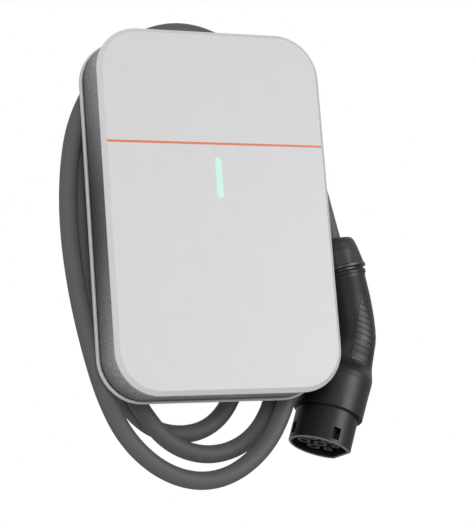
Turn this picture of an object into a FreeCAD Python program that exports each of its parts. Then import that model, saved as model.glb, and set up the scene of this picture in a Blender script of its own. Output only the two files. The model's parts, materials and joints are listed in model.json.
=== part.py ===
import FreeCAD, Part

import math
import os
import re

import Sketcher
from FreeCAD import Placement, Rotation, Vector

# Wall-mounted vehicle charger with its cable hung over a saddle behind the box.
# +X is to the right seen from the front, +Y goes into the wall, +Z is up.
# The origin is on the wall plane, behind the centre of the front cover.
# A depth is the distance from the wall plane towards the front.

document = FreeCAD.newDocument("ev_wallbox")
sizes = document.addObject("Spreadsheet::Sheet", "sizes")

DIMENSIONS = [
    # front cover
    ("box_depth", 120.0, "wall plane to the cover's flat face"),
    ("cover_width", 221.3, "widest outline of the cover"),
    ("cover_height", 340.0, "tallest outline of the cover"),
    ("cover_corner", 41.2, "corner radius of the cover's outline"),
    ("cover_chamfer", 4.2, "45 degree bevel round the flat face"),
    ("cover_thick", 5.0, "whole thickness of the cover at its border"),
    ("cover_face", 3.0, "thickness of the flat face inside the border"),
    ("cover_border", 10.0, "width of the thick border"),
    ("cover_post_reach", 13.0, "how far the screw posts stand behind the face"),
    ("post_radius", 4.5, "screw post of the cover"),
    ("stripe_height", 61.5, "centre line of the coloured stripe"),
    ("stripe_width", 2.2, "stripe, top to bottom"),
    ("stripe_thick", 0.6, "inlaid thickness of the stripe"),
    ("light_height", 29.3, "centre of the status light"),
    ("light_length", 39.0, "status light, end to end"),
    ("light_width", 6.6, "status light, side to side"),
    ("light_gap", 0.1, "gap round the light guide in its slot"),
    ("light_flange", 2.0, "flange of the light guide behind the face"),
    # middle housing
    ("wall_inset", 1.2, "housing side set in from the cover's outline"),
    ("housing_wall", 3.0, "side wall of the middle housing"),
    ("housing_floor", 4.0, "back wall of the middle housing"),
    ("housing_lip", 4.0, "thickness of the sealing lip at the open front"),
    ("groove_height", 1.6, "shadow groove between rim and housing"),
    ("groove_depth", 2.5, "how far the shadow groove goes in"),
    ("seal_width", 2.6, "width of both seals"),
    ("seal_thick", 1.6, "thickness of both seals"),
    ("pillar_radius", 6.0, "corner pillar for a cover screw"),
    ("pillar_side", 88.0, "cover screws, centre to side"),
    ("pillar_rise", 147.0, "cover screws, centre to top"),
    # rim plate
    ("rim_back", 65.0, "depth of the rim plate's back face"),
    ("rim_thick", 4.8, "thickness of the rim plate"),
    ("rim_width", 222.8, "rim plate outline"),
    ("rim_height", 341.5, "rim plate outline"),
    ("rim_corner", 42.0, "rim plate corner radius"),
    ("rim_round", 0.8, "rounded edge of the rim plate"),
    # rear housing
    ("bracket_thick", 3.0, "steel wall bracket"),
    ("rear_back", 3.5, "depth of the rear housing's back face"),
    ("rear_width", 140.0, "rear housing outline"),
    ("rear_height", 175.0, "rear housing outline"),
    ("rear_centre", 12.5, "height of the rear housing's centre"),
    ("rear_corner", 8.0, "rear housing corner radius"),
    ("rear_wall", 4.0, "rear housing wall"),
    ("window_width", 104.0, "opening between the two housings"),
    ("window_height", 146.0, "opening between the two housings"),
    ("joint_side", 60.5, "housing screws, centre to side"),
    ("joint_rise", 55.0, "housing screws, centre to top of the group"),
    ("joint_centre", 30.0, "height of the middle pair of housing screws"),
    # wall bracket
    ("bracket_width", 100.0, "wall bracket outline"),
    ("bracket_height", 210.0, "wall bracket outline"),
    ("bracket_centre", 45.0, "height of the bracket's centre"),
    ("bracket_corner", 12.0, "wall bracket corner radius"),
    ("wall_hole_side", 36.0, "wall screw holes, centre to side"),
    ("wall_hole_rise", 92.5, "wall screw holes, centre to top"),
    ("wall_hole_radius", 3.5, "wall screw hole"),
    # cable saddle
    ("saddle_centre", 113.0, "height of the saddle's arc centre"),
    ("saddle_radius", 69.5, "surface that carries the cable"),
    ("saddle_wall", 4.0, "saddle shell"),
    ("saddle_front", 62.0, "depth of the saddle's front edge"),
    ("saddle_foot", 12.6, "straight foot below the arc centre"),
    ("saddle_lip", 9.5, "how far the back lip stands above the surface"),
    ("saddle_lip_thick", 2.5, "back lip"),
    # main board
    ("board_back", 80.0, "depth of the main board's back face"),
    ("board_thick", 1.6, "every circuit board"),
    ("board_width", 150.0, "main board"),
    ("board_height", 250.0, "main board"),
    ("board_side", 68.0, "board screws, centre to side"),
    ("board_rise", 118.0, "board screws, centre to top"),
    # charging cable and its glands
    ("cable_radius", 8.5, "charging cable sheath"),
    ("outlet_side", 44.0, "outlet gland, centre to the right"),
    ("outlet_depth", 22.0, "outlet gland, depth of its axis"),
    ("supply_rise", 22.0, "height of the supply cable's hole in the back wall"),
    ("supply_hole", 14.0, "hole for the supply grommet"),
    ("supply_bore", 10.5, "bore of the supply grommet"),
    ("thread_clearance", 0.2, "radial gap between a thread and its hole"),
    # connector
    ("nose_radius", 30.5, "connector nose"),
    ("nose_flat", 25.5, "flat on the nose, from its axis"),
    ("nose_wall", 2.8, "nose wall"),
    ("nose_length", 34.0, "nose, mouth to handle"),
    ("head_radius", 35.0, "handle behind the nose"),
    ("grip_radius", 25.0, "handle where the hand holds it"),
    ("shell_wall", 3.0, "handle shell"),
    ("grip_proud", 0.4, "how far the grip pads stand above the handle"),
    ("grip_bed", 1.3, "how deep the grip pads are set into the handle"),
    ("grip_groove", 0.9, "width of a cross groove in a grip pad, and half its depth"),
    ("grip_pitch", 5.8, "distance from one cross groove to the next"),
    ("grip_start", 92.0, "lowest cross groove"),
    ("connector_tilt", 21.4, "nose leans this many degrees to the left of straight down"),
    ("connector_swing", -3.0, "and its handle this many degrees towards the wall"),
    ("connector_side", 117.0, "centre of the nose's mouth"),
    ("connector_depth", 38.0, "centre of the nose's mouth"),
    ("connector_drop", -214.0, "centre of the nose's mouth"),
]

for row, (alias, size, note) in enumerate(DIMENSIONS, start=1):
    sizes.set(f"A{row}", note)
    sizes.set(f"B{row}", str(size))
    sizes.setAlias(f"B{row}", alias)
document.recompute()

# The route of the charging cable's centre line, from the clamp inside the rear housing
# down and three times up, over the saddle and down again, to the connector.
CABLE_ROUTE = [
    (44.0, -22.0, -45.0),
    (44.1, -22.0, -104.0),
    (43.5, -21.7, -157.0),
    (12.0, -17.5, -193.5),
    (-36.0, -13.0, -194.5),
    (-71.5, -12.0, -162.0),
    (-81.0, -12.0, -99.0),
    (-85.0, -12.0, -35.0),
    (-85.3, -12.0, 28.0),
    (-81.5, -12.0, 88.0),
    (-78.4, -12.0, 138.6),
    (-48.4, -12.0, 179.8),
    (0.0, -12.0, 195.4),
    (48.4, -12.0, 179.8),
    (78.4, -12.0, 138.6),
    (84.0, -14.0, 86.0),
    (90.0, -19.0, 30.0),
    (93.0, -25.0, -30.0),
    (90.0, -29.0, -85.0),
    (84.0, -31.0, -130.0),
    (73.5, -31.0, -174.0),
    (48.0, -31.0, -206.0),
    (7.5, -31.0, -218.5),
    (-33.0, -31.0, -206.0),
    (-60.0, -31.0, -171.0),
    (-81.0, -31.0, -125.0),
    (-97.0, -31.0, -75.0),
    (-104.0, -31.0, -20.0),
    (-104.5, -31.0, 36.0),
    (-98.0, -31.0, 87.0),
    (-83.6, -31.0, 131.0),
    (-48.4, -31.0, 179.8),
    (0.0, -31.0, 195.4),
    (48.4, -31.0, 179.8),
    (83.6, -31.0, 131.0),
    (98.0, -34.0, 85.0),
    (106.0, -39.0, 35.0),
    (108.0, -44.0, -20.0),
    (104.0, -48.0, -75.0),
    (96.0, -50.0, -124.0),
    (83.0, -50.0, -168.0),
    (60.0, -50.0, -209.0),
    (25.0, -50.0, -236.0),
    (-12.0, -50.0, -243.5),
    (-49.0, -50.0, -231.5),
    (-80.0, -50.0, -203.0),
    (-99.0, -50.0, -164.0),
    (-112.0, -50.0, -112.0),
    (-121.0, -50.0, -58.0),
    (-125.0, -50.0, -2.0),
    (-122.0, -50.0, 50.0),
    (-112.0, -50.0, 98.0),
    (-86.0, -50.0, 143.0),
    (-48.4, -50.0, 180.5),
    (0.0, -50.0, 195.4),
    (46.0, -50.0, 181.0),
    (84.0, -49.0, 149.0),
    (118.9, -42.0, 107.2),
    (138.4, -33.5, 59.1),
    (153.7, -26.9, -0.4),
    (164.0, -29.4, -55.4),
]

pieces = []


def bound(text):
    """The text of a size as an expression on the sheet."""
    return re.sub(r"[a-z_]+", lambda word: "sizes." + word.group(), str(text))


def value(text):
    """The number that such a text stands for."""
    return float(sizes.evalExpression(bound(text)))


def bind(item, name, text):
    """Ties one property of an object to the sheet."""
    item.setExpression(name, bound(text))


def keep(item, label):
    """Names an object and lists it as a finished piece."""
    item.Label = label
    pieces.append(item)
    return item


def new_body(label):
    return keep(document.addObject("PartDesign::Body", label), label)


def new_sketch(body, depth="0", right="0", up="0", role="XZ_Plane"):
    """A sketch on an origin plane of its body, moved along and across that plane."""
    plane = next(item for item in body.Origin.OriginFeatures if item.Role == role)
    sketch = body.newObject("Sketcher::SketchObject", "outline")
    sketch.AttachmentSupport = [(plane, "")]
    sketch.MapMode = "FlatFace"
    sketch.AttachmentOffset = Placement(Vector(value(right), value(up), value(depth)), Rotation())
    for axis, text in zip("xyz", (right, up, depth)):
        bind(sketch, ".AttachmentOffset.Base." + axis, text)
    return sketch


def constrain(sketch, kind, where, text):
    """Adds one driving size to a sketch."""
    index = sketch.addConstraint(Sketcher.Constraint(kind, *where, value(text)))
    bind(sketch, f"Constraints[{index}]", text)


def link(sketch, kind, *where):
    sketch.addConstraint(Sketcher.Constraint(kind, *where))


def place_point(sketch, geometry, point, right, up):
    """Holds a point at a place measured from the sketch's origin."""
    for kind, text in (("DistanceX", right), ("DistanceY", up)):
        if value(text) >= 0:
            constrain(sketch, kind, (-1, 1, geometry, point), text)
        else:
            constrain(sketch, kind, (geometry, point, -1, 1), f"-({text})")


def circle(sketch, radius, right="0", up="0"):
    centre = Vector(value(right), value(up), 0)
    index = sketch.addGeometry(Part.Circle(centre, Vector(0, 0, 1), value(radius)))
    constrain(sketch, "Radius", (index,), radius)
    place_point(sketch, index, 3, right, up)


def rectangle(sketch, width, height, radius=None):
    """A rectangle centred on the sketch's origin, with rounded corners if a radius is given."""
    half_width = value(width) / 2
    half_height = value(height) / 2
    corner = value(radius) if radius else 0.0
    flat_width = half_width - corner
    flat_height = half_height - corner
    lines = [
        ((-flat_width, -half_height), (flat_width, -half_height)),
        ((half_width, -flat_height), (half_width, flat_height)),
        ((flat_width, half_height), (-flat_width, half_height)),
        ((-half_width, flat_height), (-half_width, -flat_height)),
    ]
    sides = [
        sketch.addGeometry(Part.LineSegment(Vector(*start, 0), Vector(*end, 0))) for start, end in lines
    ]
    if radius:
        add_corners(sketch, sides, flat_width, flat_height, corner, radius)
    else:
        for side, following in zip(sides, sides[1:] + sides[:1]):
            link(sketch, "Coincident", side, 2, following, 1)
    link(sketch, "Horizontal", sides[0])
    link(sketch, "Horizontal", sides[2])
    link(sketch, "Vertical", sides[1])
    link(sketch, "Vertical", sides[3])
    constrain(sketch, "DistanceX", (-1, 1, sides[1], 1), f"({width}) / 2")
    constrain(sketch, "DistanceX", (sides[3], 1, -1, 1), f"({width}) / 2")
    constrain(sketch, "DistanceY", (-1, 1, sides[2], 1), f"({height}) / 2")
    constrain(sketch, "DistanceY", (sides[0], 1, -1, 1), f"({height}) / 2")


def add_corners(sketch, sides, flat_width, flat_height, corner, radius):
    """Quarter circles between the sides of a rectangle."""
    centres = [(1, -1), (1, 1), (-1, 1), (-1, -1)]
    arcs = []
    for turn, (right, up) in enumerate(centres):
        centre = Vector(right * flat_width, up * flat_height, 0)
        whole = Part.Circle(centre, Vector(0, 0, 1), corner)
        start = math.radians(90 * turn - 90)
        arcs.append(sketch.addGeometry(Part.ArcOfCircle(whole, start, start + math.pi / 2)))
    for turn, arc in enumerate(arcs):
        link(sketch, "Tangent", sides[turn], 2, arc, 1)
        link(sketch, "Tangent", arc, 2, sides[(turn + 1) % 4], 1)
    for arc in arcs[1:]:
        link(sketch, "Equal", arcs[0], arc)
    constrain(sketch, "Radius", (arcs[0],), radius)


def dee(sketch, radius, foot):
    """A half disc with its arc on top and a straight foot below the arc's centre."""
    reach = value(radius)
    low = -value(foot)
    whole = Part.Circle(Vector(0, 0, 0), Vector(0, 0, 1), reach)
    arc = sketch.addGeometry(Part.ArcOfCircle(whole, 0, math.pi))
    left = sketch.addGeometry(Part.LineSegment(Vector(-reach, 0, 0), Vector(-reach, low, 0)))
    base = sketch.addGeometry(Part.LineSegment(Vector(-reach, low, 0), Vector(reach, low, 0)))
    right = sketch.addGeometry(Part.LineSegment(Vector(reach, low, 0), Vector(reach, 0, 0)))
    link(sketch, "Coincident", arc, 3, -1, 1)
    link(sketch, "Tangent", arc, 2, left, 1)
    link(sketch, "Coincident", left, 2, base, 1)
    link(sketch, "Coincident", base, 2, right, 1)
    link(sketch, "Tangent", right, 2, arc, 1)
    link(sketch, "Horizontal", base)
    link(sketch, "Vertical", left)
    link(sketch, "Vertical", right)
    constrain(sketch, "Radius", (arc,), radius)
    constrain(sketch, "DistanceY", (base, 1, -1, 1), foot)


def stadium(sketch, width, height):
    """An upright slot with round ends."""
    rectangle(sketch, width, height, f"({width}) / 2 - 0.01")


def hexagon(sketch, flats):
    """A regular hexagon given by the distance across its flats."""
    reach = value(flats) / math.sqrt(3)
    corners = [
        Vector(reach * math.cos(math.radians(angle)), reach * math.sin(math.radians(angle)), 0)
        for angle in range(0, 360, 60)
    ]
    edges = [
        sketch.addGeometry(Part.LineSegment(start, end))
        for start, end in zip(corners, corners[1:] + corners[:1])
    ]
    outer = sketch.addGeometry(Part.Circle(Vector(0, 0, 0), Vector(0, 0, 1), reach), True)
    for edge, following in zip(edges, edges[1:] + edges[:1]):
        link(sketch, "Coincident", edge, 2, following, 1)
    for edge in edges:
        link(sketch, "PointOnObject", edge, 1, outer)
    for edge in edges[1:]:
        link(sketch, "Equal", edges[0], edge)
    link(sketch, "Coincident", outer, 3, -1, 1)
    link(sketch, "PointOnObject", edges[0], 1, -1)
    constrain(sketch, "Radius", (outer,), f"({flats}) / 1.7320508")


def pad(body, sketch, length):
    feature = body.newObject("PartDesign::Pad", "pad")
    feature.Profile = sketch
    feature.Length = value(length)
    bind(feature, "Length", length)
    return feature


def pocket(body, sketch, length, forward=False):
    """Cuts against the sketch's normal, or along it if forward is set."""
    feature = body.newObject("PartDesign::Pocket", "pocket")
    feature.Profile = sketch
    feature.Length = value(length)
    feature.Reversed = forward
    bind(feature, "Length", length)
    return feature


def outline_at(feature, depth):
    """The names of the edges of a feature that lie whole in the plane at that depth."""
    document.recompute()
    level = -value(depth)
    return [
        f"Edge{number}"
        for number, edge in enumerate(feature.Shape.Edges, start=1)
        if abs(edge.BoundBox.YMin - level) < 1e-4 and abs(edge.BoundBox.YMax - level) < 1e-4
    ]


def round_edges_at(feature, depth, radius):
    """The names of the circles of that radius among the edges in the plane at that depth."""
    names = outline_at(feature, depth)
    return [
        name
        for name in names
        if abs(feature.Shape.getElement(name).BoundBox.XLength - 2 * value(radius)) < 1e-3
    ]


def four_corners(side, rise, centre="0"):
    """The places of four holes on a rectangle."""
    return [
        (f"{right}({side})", f"({centre}) {up} ({rise})")
        for up in ("+", "-")
        for right in ("", "-")
    ]


# The bevelled cover, with its border, screw posts, light slot and stripe groove.

cover_back = "box_depth - cover_thick"
cover_posts = four_corners("pillar_side", "pillar_rise")

front_cover = new_body("front_cover")
sketch = new_sketch(front_cover, depth=cover_back)
rectangle(sketch, "cover_width", "cover_height", "cover_corner")
blank = pad(front_cover, sketch, "cover_thick")
bevel = front_cover.newObject("PartDesign::Chamfer", "bevel")
bevel.Base = (blank, outline_at(blank, "box_depth"))
bind(bevel, "Size", "cover_chamfer")
sketch = new_sketch(front_cover, depth=cover_back)
rectangle(
    sketch,
    "cover_width - 2 * cover_border",
    "cover_height - 2 * cover_border",
    "cover_corner - cover_border",
)
pocket(front_cover, sketch, "cover_thick - cover_face", forward=True)
post_back = "box_depth - cover_face - cover_post_reach"
sketch = new_sketch(front_cover, depth=post_back)
for right, up in cover_posts:
    circle(sketch, "post_radius", right, up)
pad(front_cover, sketch, "cover_post_reach + 0.5")
sketch = new_sketch(front_cover, depth=post_back)
for right, up in cover_posts:
    circle(sketch, "1.6", right, up)
pocket(front_cover, sketch, "cover_post_reach - 1", forward=True)
light_post_back = "box_depth - 8"
light_posts = [("0", "light_height + 27"), ("0", "light_height - 27")]
sketch = new_sketch(front_cover, depth=light_post_back)
for right, up in light_posts:
    circle(sketch, "2.2", right, up)
pad(front_cover, sketch, "5.5")
sketch = new_sketch(front_cover, depth="box_depth", up="light_height")
stadium(sketch, "light_width + 2 * light_gap", "light_length + 2 * light_gap")
pocket(front_cover, sketch, "cover_thick")
sketch = new_sketch(front_cover, depth="box_depth", up="stripe_height")
rectangle(sketch, "cover_width", "stripe_width")
pocket(front_cover, sketch, "stripe_thick")

accent_stripe = new_body("accent_stripe")
sketch = new_sketch(accent_stripe, depth="box_depth - stripe_thick", up="stripe_height")
rectangle(sketch, "cover_width - 2 * cover_chamfer", "stripe_width")
pad(accent_stripe, sketch, "stripe_thick")

status_light_guide = new_body("status_light_guide")
sketch = new_sketch(status_light_guide, depth="box_depth - cover_face - 1.5", up="light_height")
stadium(sketch, "light_width + 2 * light_flange", "light_length + 2 * light_flange")
pad(status_light_guide, sketch, "1.5")
sketch = new_sketch(status_light_guide, depth="box_depth - cover_face", up="light_height")
stadium(sketch, "light_width", "light_length")
pad(status_light_guide, sketch, "cover_face")

status_light_board = new_body("status_light_board")
sketch = new_sketch(status_light_board, depth="box_depth - 8 - board_thick", up="light_height")
rectangle(sketch, "14", "62")
pad(status_light_board, sketch, "board_thick")
sketch = new_sketch(status_light_board, depth="box_depth - 8", up="light_height - 16")
rectangle(sketch, "3.5", "3.5")
first_light = pad(status_light_board, sketch, "1.4")
light_row = status_light_board.newObject("PartDesign::LinearPattern", "light_row")
light_row.Originals = [first_light]
light_row.Direction = (sketch, ["V_Axis"])
light_row.Length = 32
light_row.Occurrences = 5
status_light_board.Tip = light_row


# The dark middle housing: a tub with a sealing lip, corner pillars and a shadow groove.

housing_back = "rim_back + rim_thick"
housing_width = "cover_width - 2 * wall_inset"
housing_height = "cover_height - 2 * wall_inset"
housing_corner = "cover_corner - wall_inset"
floor_front = f"{housing_back} + housing_floor"
seal_inset = "housing_wall + 0.8"
joint_screws = four_corners("joint_side", "joint_rise", "joint_centre")
joint_screws += [("joint_side", "joint_centre"), ("-joint_side", "joint_centre")]
board_screw_places = four_corners("board_side", "board_rise") + [
    ("board_side", "0"),
    ("-board_side", "0"),
]

middle_housing = new_body("middle_housing")
sketch = new_sketch(middle_housing, depth=housing_back)
rectangle(
    sketch,
    f"{housing_width} - 2 * groove_depth",
    f"{housing_height} - 2 * groove_depth",
    f"{housing_corner} - groove_depth",
)
pad(middle_housing, sketch, "groove_height")
sketch = new_sketch(middle_housing, depth=f"{housing_back} + groove_height")
rectangle(sketch, housing_width, housing_height, housing_corner)
pad(middle_housing, sketch, f"{cover_back} - ({housing_back} + groove_height)")
sketch = new_sketch(middle_housing, depth=f"{cover_back} - housing_lip")
rectangle(
    sketch,
    f"{housing_width} - 2 * housing_wall",
    f"{housing_height} - 2 * housing_wall",
    f"{housing_corner} - housing_wall",
)
pocket(middle_housing, sketch, f"{cover_back} - housing_lip - ({floor_front})")
sketch = new_sketch(middle_housing, depth=cover_back)
rectangle(
    sketch,
    "cover_width - 2 * cover_border",
    "cover_height - 2 * cover_border",
    "cover_corner - cover_border",
)
pocket(middle_housing, sketch, "housing_lip")
sketch = new_sketch(middle_housing, depth=cover_back)
for inset in (seal_inset, f"{seal_inset} + seal_width"):
    rectangle(
        sketch,
        f"{housing_width} - 2 * ({inset})",
        f"{housing_height} - 2 * ({inset})",
        f"{housing_corner} - ({inset})",
    )
pocket(middle_housing, sketch, "seal_thick")
sketch = new_sketch(middle_housing, depth=f"{floor_front} - 0.5")
for right, up in cover_posts:
    circle(sketch, "pillar_radius", right, up)
pad(middle_housing, sketch, f"{post_back} - ({floor_front}) + 0.5")
sketch = new_sketch(middle_housing, depth=f"{floor_front} - 0.5")
for right, up in board_screw_places:
    circle(sketch, "3.5", right, up)
pad(middle_housing, sketch, f"board_back - ({floor_front}) + 0.5")
sketch = new_sketch(middle_housing, depth="board_back")
for right, up in board_screw_places:
    circle(sketch, "1.3", right, up)
pocket(middle_housing, sketch, "7")
sketch = new_sketch(middle_housing, depth=post_back)
for right, up in cover_posts:
    circle(sketch, "2.2", right, up)
pocket(middle_housing, sketch, f"{post_back} - ({housing_back}) + 1")
sketch = new_sketch(middle_housing, depth=floor_front)
for right, up in joint_screws:
    circle(sketch, "2.2", right, up)
pocket(middle_housing, sketch, "housing_floor + 1")
sketch = new_sketch(middle_housing, depth=floor_front, up="rear_centre")
rectangle(sketch, "window_width", "window_height", "8")
pocket(middle_housing, sketch, "housing_floor + 1")

cover_seal = new_body("cover_seal")
sketch = new_sketch(cover_seal, depth=f"{cover_back} - seal_thick")
for inset in (seal_inset, f"{seal_inset} + seal_width"):
    rectangle(
        sketch,
        f"{housing_width} - 2 * ({inset})",
        f"{housing_height} - 2 * ({inset})",
        f"{housing_corner} - ({inset})",
    )
pad(cover_seal, sketch, "seal_thick")


# The pale rim plate between the two housings, and the seal in its back.

rear_seal_inset = "0.7"

rim_plate = new_body("rim_plate")
sketch = new_sketch(rim_plate, depth="rim_back")
rectangle(sketch, "rim_width", "rim_height", "rim_corner")
plate = pad(rim_plate, sketch, "rim_thick")
soft_edge = rim_plate.newObject("PartDesign::Fillet", "soft_edge")
soft_edge.Base = (plate, outline_at(plate, "rim_back") + outline_at(plate, housing_back))
bind(soft_edge, "Radius", "rim_round")
sketch = new_sketch(rim_plate, depth=housing_back, up="rear_centre")
rectangle(sketch, "window_width", "window_height", "8")
pocket(rim_plate, sketch, "rim_thick + 1")
sketch = new_sketch(rim_plate, depth="rim_back", up="rear_centre")
for inset in (rear_seal_inset, f"{rear_seal_inset} + seal_width"):
    rectangle(
        sketch,
        f"rear_width - 2 * ({inset})",
        f"rear_height - 2 * ({inset})",
        f"rear_corner - ({inset})",
    )
pocket(rim_plate, sketch, "seal_thick", forward=True)
sketch = new_sketch(rim_plate, depth="rim_back")
for right, up in cover_posts + joint_screws:
    circle(sketch, "2.2", right, up)
pocket(rim_plate, sketch, "rim_thick + 1", forward=True)
sketch = new_sketch(rim_plate, depth="rim_back")
for right, up in cover_posts:
    circle(sketch, "4.2", right, up)
pocket(rim_plate, sketch, "2.6", forward=True)

housing_seal = new_body("housing_seal")
sketch = new_sketch(housing_seal, depth="rim_back", up="rear_centre")
for inset in (rear_seal_inset, f"{rear_seal_inset} + seal_width"):
    rectangle(
        sketch,
        f"rear_width - 2 * ({inset})",
        f"rear_height - 2 * ({inset})",
        f"rear_corner - ({inset})",
    )
pad(housing_seal, sketch, "seal_thick")


# The rear housing, a narrower tub that the cable hangs round, on its wall bracket.

rear_floor = "rear_back + rear_wall"
bottom_outside = "rear_centre - rear_height / 2"
fixing_screws = [("45", "-40"), ("-45", "-40"), ("45", "84"), ("-45", "84")]

rear_housing = new_body("rear_housing")
sketch = new_sketch(rear_housing, depth="rear_back", up="rear_centre")
rectangle(sketch, "rear_width", "rear_height", "rear_corner")
pad(rear_housing, sketch, "rim_back - rear_back")
sketch = new_sketch(rear_housing, depth="rim_back", up="rear_centre")
rectangle(
    sketch,
    "rear_width - 2 * rear_wall",
    "rear_height - 2 * rear_wall",
    "rear_corner - rear_wall",
)
pocket(rear_housing, sketch, "rim_back - rear_back - rear_wall")
sketch = new_sketch(rear_housing, depth=f"{rear_floor} - 0.5")
for right, up in joint_screws:
    circle(sketch, "5.6", right, up)
pad(rear_housing, sketch, f"rim_back - ({rear_floor}) + 0.5")
sketch = new_sketch(rear_housing, depth="rim_back")
for right, up in joint_screws:
    circle(sketch, "1.6", right, up)
pocket(rear_housing, sketch, "16")
sketch = new_sketch(rear_housing, depth=rear_floor)
for right, up in fixing_screws:
    circle(sketch, "2.7", right, up)
pocket(rear_housing, sketch, "rear_wall + 1")
sketch = new_sketch(rear_housing, depth=f"{bottom_outside} - 1", role="XY_Plane")
circle(sketch, "12.5 + thread_clearance", "outlet_side", "-outlet_depth")
pocket(rear_housing, sketch, "rear_wall + 2", forward=True)
sketch = new_sketch(rear_housing, depth=rear_floor)
circle(sketch, "supply_hole", "0", "supply_rise")
pocket(rear_housing, sketch, "rear_wall + 1")

wall_bracket = new_body("wall_bracket")
sketch = new_sketch(wall_bracket, up="bracket_centre")
rectangle(sketch, "bracket_width", "bracket_height", "bracket_corner")
pad(wall_bracket, sketch, "bracket_thick")
wall_holes = four_corners("wall_hole_side", "wall_hole_rise", "bracket_centre")
sketch = new_sketch(wall_bracket, depth="bracket_thick")
for right, up in wall_holes:
    circle(sketch, "wall_hole_radius", right, up)
drilled = pocket(wall_bracket, sketch, "bracket_thick + 1")
countersink = wall_bracket.newObject("PartDesign::Chamfer", "countersink")
countersink.Base = (drilled, round_edges_at(drilled, "bracket_thick", "wall_hole_radius"))
countersink.Size = 1.4
saddle_screw_places = [("22", "140"), ("-22", "140")]
sketch = new_sketch(wall_bracket, depth="bracket_thick")
for right, up in fixing_screws + saddle_screw_places:
    circle(sketch, "2.4", right, up)
pocket(wall_bracket, sketch, "bracket_thick + 1")
sketch = new_sketch(wall_bracket, depth="bracket_thick", up="supply_rise")
rectangle(sketch, "56", "70", "6")
pocket(wall_bracket, sketch, "bracket_thick + 1")


# The half-round saddle that the cable's three turns lie on.

web_front = "rear_back + 3"

cable_saddle = new_body("cable_saddle")
sketch = new_sketch(cable_saddle, depth="0.4", up="saddle_centre")
dee(sketch, "saddle_radius", "saddle_foot")
pad(cable_saddle, sketch, "saddle_front - 0.4")
sketch = new_sketch(cable_saddle, depth="0.4", up="saddle_centre")
dee(sketch, "saddle_radius + saddle_lip", "0.01")
pad(cable_saddle, sketch, "saddle_lip_thick")
sketch = new_sketch(cable_saddle, depth="saddle_front", up="saddle_centre")
dee(sketch, "saddle_radius - saddle_wall", "saddle_foot - 3")
pocket(cable_saddle, sketch, f"saddle_front - ({web_front})")
sketch = new_sketch(cable_saddle, depth="rear_back", up="saddle_centre")
dee(sketch, "saddle_radius - saddle_wall", "saddle_foot + 1")
pocket(cable_saddle, sketch, "rear_back + 1")
sketch = new_sketch(cable_saddle, depth="rear_back", up="saddle_centre + 24")
rectangle(sketch, "3", "90")
pad(cable_saddle, sketch, "saddle_front - rear_back - 4")
for lean in (52, -52):
    sketch = new_sketch(cable_saddle, depth="rear_back", up="saddle_centre")
    turn = Rotation(Vector(0, 0, 1), lean)
    sketch.AttachmentOffset = Placement(sketch.AttachmentOffset.Base, turn)
    rectangle(sketch, "3", "134")
    pad(cable_saddle, sketch, "saddle_front - rear_back - 4")
sketch = new_sketch(cable_saddle, depth="saddle_front", up="saddle_centre - 60")
rectangle(sketch, "160", "120 - 2 * saddle_foot")
pocket(cable_saddle, sketch, "saddle_front")
sketch = new_sketch(cable_saddle, depth="saddle_front")
for right, up in saddle_screw_places:
    circle(sketch, "2.7", right, up)
for right, up in wall_holes[:2]:
    circle(sketch, "7", right, up)
pocket(cable_saddle, sketch, "saddle_front")


# The main board and what stands on it.

board_front = "board_back + board_thick"


def block(label, side, rise, width, height, depth, back=board_front):
    """A body that starts as a plain block standing on the main board."""
    body = new_body(label)
    outline = new_sketch(body, depth=back, right=side, up=rise)
    rectangle(outline, width, height)
    pad(body, outline, depth)
    return body


def box(side, rise, width, height, depth, back=board_front):
    """A plain box centred on a place of the main board."""
    item = document.addObject("Part::Box", "box")
    for name, text in (("Length", width), ("Width", depth), ("Height", height)):
        setattr(item, name, value(text))
        bind(item, name, text)
    bind(item, ".Placement.Base.x", f"({side}) - ({width}) / 2")
    bind(item, ".Placement.Base.y", f"-({back}) - ({depth})")
    bind(item, ".Placement.Base.z", f"({rise}) - ({height}) / 2")
    return item


def group(label, items):
    """Separate solids that share one node."""
    compound = document.addObject("Part::Compound", label)
    compound.Links = items
    return keep(compound, label)


main_board = new_body("main_board")
sketch = new_sketch(main_board, depth="board_back")
rectangle(sketch, "board_width", "board_height", "4")
pad(main_board, sketch, "board_thick")
sketch = new_sketch(main_board, depth=board_front)
for right, up in board_screw_places:
    circle(sketch, "1.7", right, up)
pocket(main_board, sketch, "board_thick + 1")

group("power_relays", [box(side, -66, 26, 30, 24) for side in (-48, -16, 16, 48)])

terminal_block = block("terminal_block", 0, -105, 108, 22, 20)
sketch = new_sketch(terminal_block, depth=f"{board_front} + 20")
for step in range(6):
    circle(sketch, "2.6", f"{18 * step - 45}", "-105")
pocket(terminal_block, sketch, "4")
sketch = new_sketch(terminal_block, depth="-116", role="XY_Plane")
for step in range(6):
    circle(sketch, "3.4", f"{18 * step - 45}", f"-({board_front}) - 8")
pocket(terminal_block, sketch, "12", forward=True)

residual_current_sensor = block("residual_current_sensor", -48, -22, 36, 36, 18)
sketch = new_sketch(residual_current_sensor, depth=f"{board_front} + 18")
circle(sketch, "8", "-48", "-22")
pocket(residual_current_sensor, sketch, "14")

supply_transformer = block("supply_transformer", 44, -20, 32, 28, 24)
sketch = new_sketch(supply_transformer, depth=board_front, right=44, up=-20)
rectangle(sketch, 22, 38)
pad(supply_transformer, sketch, "18")

capacitors = []
for rise in (-38, -20, -2):
    can = document.addObject("Part::Cylinder", "can")
    can.Radius = 8
    can.Height = 26
    can.Placement = Placement(Vector(4, -value(board_front), rise), Rotation(Vector(1, 0, 0), 90))
    capacitors.append(can)
group("capacitors", capacitors)

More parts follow.
